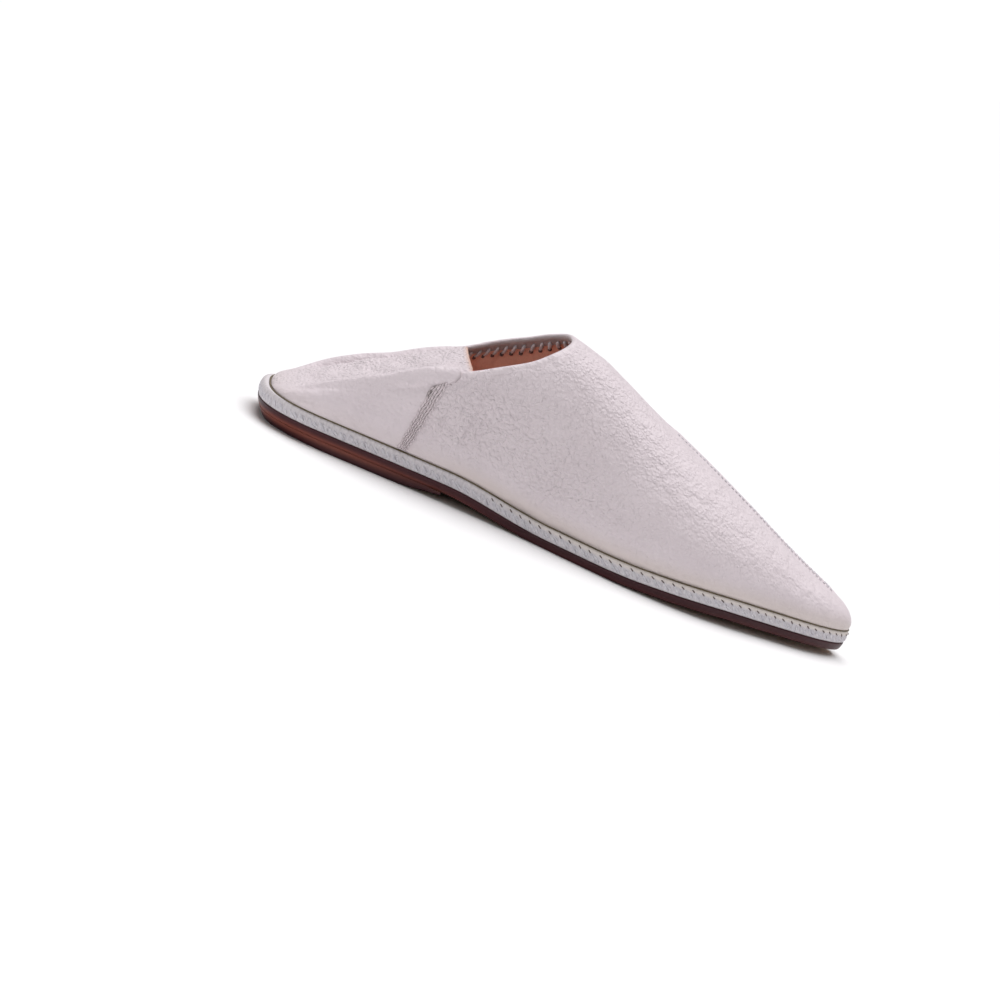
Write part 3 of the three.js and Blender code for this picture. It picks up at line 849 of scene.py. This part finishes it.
# ---- Collar edge ---------------------------------------------------------------------------------
# The vamp's leather is turned over the mouth's edge on to the lining and whipped down inside
# with slanting ivory stitches, each with its own needle hole in the tan lining.

CURVED = 0.88
TUCKED_UNDER = 5.0
WHIP_PITCH = 3.9

# The rim runs from the inner side round the throat to the outer side. Its curved share follows
# the mouth, and its two ends run straight back under the flap.
around = np.linspace(-1, 1, 221)
side = np.where(around < 0, -1.0, 1.0)
bearing = np.clip(1 - np.abs(around) / CURVED, 0, 1) * np.pi / 2
straight = np.clip((np.abs(around) - CURVED) / (1 - CURVED), 0, 1)
rim_x = FLAP_EDGE_X + (THROAT_X - FLAP_EDGE_X) * np.sin(bearing) ** (2 / MOUTH_POWER)
rim_x = rim_x - straight * TUCKED_UNDER
edge_turn = rim_turn(rim_x, side)
edge_turn = np.where(bearing > np.pi / 2 - 1e-9, np.pi / 2, edge_turn)
edge_turn = np.where(side < 0, edge_turn, np.pi - edge_turn)
rim = upper_point(rim_x, edge_turn)
out = upper_normal(rim_x, edge_turn)
tangent = np.gradient(rim, axis=0)
down = np.cross(tangent, out)
down /= np.linalg.norm(down, axis=1, keepdims=True)
by_x = (upper_point(rim_x + 0.1, edge_turn) - upper_point(rim_x - 0.1, edge_turn)) / 0.2
by_turn = (upper_point(rim_x, edge_turn + 0.002) - upper_point(rim_x, edge_turn - 0.002)) / 0.004


def dot(a, b):
    """The scalar product of each pair of rows."""
    return np.sum(a * b, axis=1)


# How x and the bearing change for a millimetre straight down from the rim, in the surface.
gram = dot(by_x, by_x) * dot(by_turn, by_turn) - dot(by_x, by_turn) ** 2
x_down = (dot(down, by_x) * dot(by_turn, by_turn) - dot(down, by_turn) * dot(by_x, by_turn)) / gram
turn_down = (dot(down, by_turn) * dot(by_x, by_x) - dot(down, by_x) * dot(by_x, by_turn)) / gram
run = np.concatenate([[0], np.cumsum(np.linalg.norm(np.diff(rim, axis=0), axis=1))])


def by_collar(place, deep, proud):
    """A point so far along the rim and deep below it over the surface, standing proud of it."""
    x = np.interp(place, run, rim_x) + np.interp(place, run, x_down) * deep
    turn = np.interp(place, run, edge_turn) + np.interp(place, run, turn_down) * deep
    return on_upper(x, turn, np.broadcast_to(proud, x.shape))


# Section of the turning, from its outer face over the rim to its end on the lining: how deep
# below the rim, and how proud of the upper's outer face.
TURNING = np.array([[2.8, -0.3], [1.8, 0.14], [0.7, 0.22], [-0.2, 0.12], [-0.7, -0.4], [-0.8, -1.0],
                    [-0.6, -1.7], [0.1, -2.2], [1.4, -2.35], [3.2, -2.35], [4.9, -2.3], [5.3, -2.1],
                    [5.4, -1.6]])
deep, proud = TURNING.T
points = by_collar(run[:, None], deep[None], proud[None])
grid = points.shape[:2]
# The turning's inner rows, on the lining inside the mouth, are darkened with painted shade.
marks = {"grain": np.full(grid, 0.45), "warm": np.full(grid, 0.08),
         "dark": np.broadcast_to(0.5 * ease(-proud, 0.3, 1.4), grid)}
make_piece("collar_turning", points, grid_faces(*grid, False), [ivory], marks)

at = np.arange(5.0, run[-1] - 4.0, WHIP_PITCH)
facing = -np.stack([np.interp(at, run, out[:, k]) for k in range(3)], 1)
whips = stitch_points(by_collar(at - 1.3, 2.0, -2.5), by_collar(at + 0.9, 7.4, -2.15), facing,
                      0.85, 0.45)
sew("collar_stitches", whips, thread)
pits = stitch_points(by_collar(at + 0.8, 6.6, -1.85), by_collar(at + 1.0, 8.6, -1.85), facing,
                     0.95, 0.2, rows=5, columns=6)
sew("collar_needle_holes", pits, needle_dark)

# ---- Ridge seam ----------------------------------------------------------------------------------
# Over the toes the vamp is drawn together on its middle line. Short ivory rungs cross the open
# slit between the holes, like a ladder, and small stitches run down each side.

RUNG_REACH = 2.5
ROW_ASIDE = 3.3
ROW_PITCH = 2.1
count = int((SEAM_END - SEAM_START - 6) / HOLE_PITCH)
between = SEAM_START + FIRST_HOLE + HOLE_PITCH * (np.arange(count) + 0.5)
rungs = (between[:, None] + np.array([-1.25, 0.0, 1.25])).ravel()
beads = SEAM_START + np.arange(0, SEAM_END - SEAM_START - 3, ROW_PITCH)


def across_ridge(x, aside, proud):
    """Points beside the middle line by so many millimetres, standing proud: the bearing
    straight up, turned by that distance over the half width."""
    turn = np.pi / 2 + aside / half_width(x, 1)
    return on_upper(x, turn, np.full_like(x, proud))


facing = upper_normal(rungs, np.full_like(rungs, np.pi / 2))
stitches = [stitch_points(across_ridge(rungs - 0.5, -RUNG_REACH, 0.35),
                          across_ridge(rungs + 0.5, RUNG_REACH, 0.45), facing, 0.42, 0.25)]
facing = upper_normal(beads, np.full_like(beads, np.pi / 2))
for aside in (-ROW_ASIDE, ROW_ASIDE):
    stitches.append(stitch_points(across_ridge(beads, aside, 0.4),
                                  across_ridge(beads + 1.5, aside, 0.4), facing, 0.32, 0.15))
sew("ridge_seam_stitches", np.concatenate(stitches), thread)

# ---- Floor, light and camera ---------------------------------------------------------------------
# A white sweep under a wide soft light from above and a little behind, with a weaker soft
# light in front for the gloss. The camera is rolled, as if the slipper were tipped on its toe.

FLOOR_REACH = 60.0
floor_white = fibrous_material("white sweep", 0.9, 40.0, 2.0, (0.94, 0.94, 0.94, 1),
                               (0.96, 0.96, 0.96, 1), Specular_IOR_Level=0.0)
reach = np.linspace(-FLOOR_REACH, FLOOR_REACH, 7)
points = np.stack([*np.meshgrid(reach, reach, indexing="ij"), np.zeros((7, 7))], -1)
mesh = bpy.data.meshes.new("studio_floor")
mesh.from_pydata(points.reshape(-1, 3).tolist(), [], grid_faces(7, 7, False).tolist())
mesh.materials.append(floor_white)
floor = bpy.data.objects.new("studio_floor", mesh)
scene.collection.objects.link(floor)


def hang(light, direction, place=(0.0, 0.0, 0.0)):
    """Hangs a light at a place, so that its rays come from the direction given."""
    lamp = bpy.data.objects.new(light.name, light)
    scene.collection.objects.link(lamp)
    lamp.location = place
    lamp.rotation_mode = "QUATERNION"
    lamp.rotation_quaternion = Vector(direction).to_track_quat("Z", "Y")


overhead = bpy.data.lights.new("overhead", "SUN")
overhead.energy = 2.75
overhead.angle = math.radians(60)
overhead.color = (1.0, 0.985, 1.0)
hang(overhead, (0.08, 0.26, 1.0))

glint = bpy.data.lights.new("front_softbox", "AREA")
glint.shape = "RECTANGLE"
glint.size = 1.2
glint.size_y = 0.5
glint.energy = 2.5
hang(glint, (-0.9, -1.5, 0.5), (-0.9, -1.5, 0.55))

# The world looks white to the camera, and lights the slipper far less than it shows.
world = bpy.data.worlds.new("studio")
world.use_nodes = True
sky = world.node_tree
seen = node(sky, "ShaderNodeLightPath")
strength = node(sky, "ShaderNodeMapRange",
                {0: seen.outputs["Is Camera Ray"], 1: 0.0, 2: 1.0, 3: 0.24, 4: 1.05})
sky.links.new(strength.outputs[0], sky.nodes["Background"].inputs[1])
sky.nodes["Background"].inputs[0].default_value = (1.0, 1.0, 1.0, 1)
scene.world = world
scene.view_settings.view_transform = "Standard"

# The view is nearly square on to the inner side, from a little above, rolled, and aimed a
# little off the slipper's middle.
AZIMUTH = math.radians(-9.62)
ELEVATION = math.radians(9.52)
ROLL = math.radians(24.74)
DISTANCE = 1.323
AIM_HEIGHT = 0.035
AIM_ASIDE = 0.02654
AIM_DOWN = 0.01311
LENS = 109.9
back_to = np.array([math.sin(AZIMUTH) * math.cos(ELEVATION), -math.cos(AZIMUTH) * math.cos(ELEVATION),
                    math.sin(ELEVATION)])
right = np.cross(-back_to, [0, 0, 1])
right /= np.linalg.norm(right)
upright = np.cross(right, -back_to)
camera_x = math.cos(ROLL) * right + math.sin(ROLL) * upright
camera_y = -math.sin(ROLL) * right + math.cos(ROLL) * upright
stand = np.array([0, 0, AIM_HEIGHT]) + DISTANCE * back_to
ahead = -back_to - AIM_ASIDE * camera_x - AIM_DOWN * camera_y
ahead /= np.linalg.norm(ahead)
camera_x = camera_x - np.dot(camera_x, ahead) * ahead
camera_x /= np.linalg.norm(camera_x)
pose = np.eye(4)
pose[:3, 0] = camera_x
pose[:3, 1] = np.cross(-ahead, camera_x)
pose[:3, 2] = -ahead
pose[:3, 3] = stand
lens = bpy.data.cameras.new("camera")
lens.lens = LENS
lens.sensor_width = 36
camera = bpy.data.objects.new("camera", lens)
scene.collection.objects.link(camera)
camera.matrix_world = Matrix(pose.tolist())
scene.camera = camera
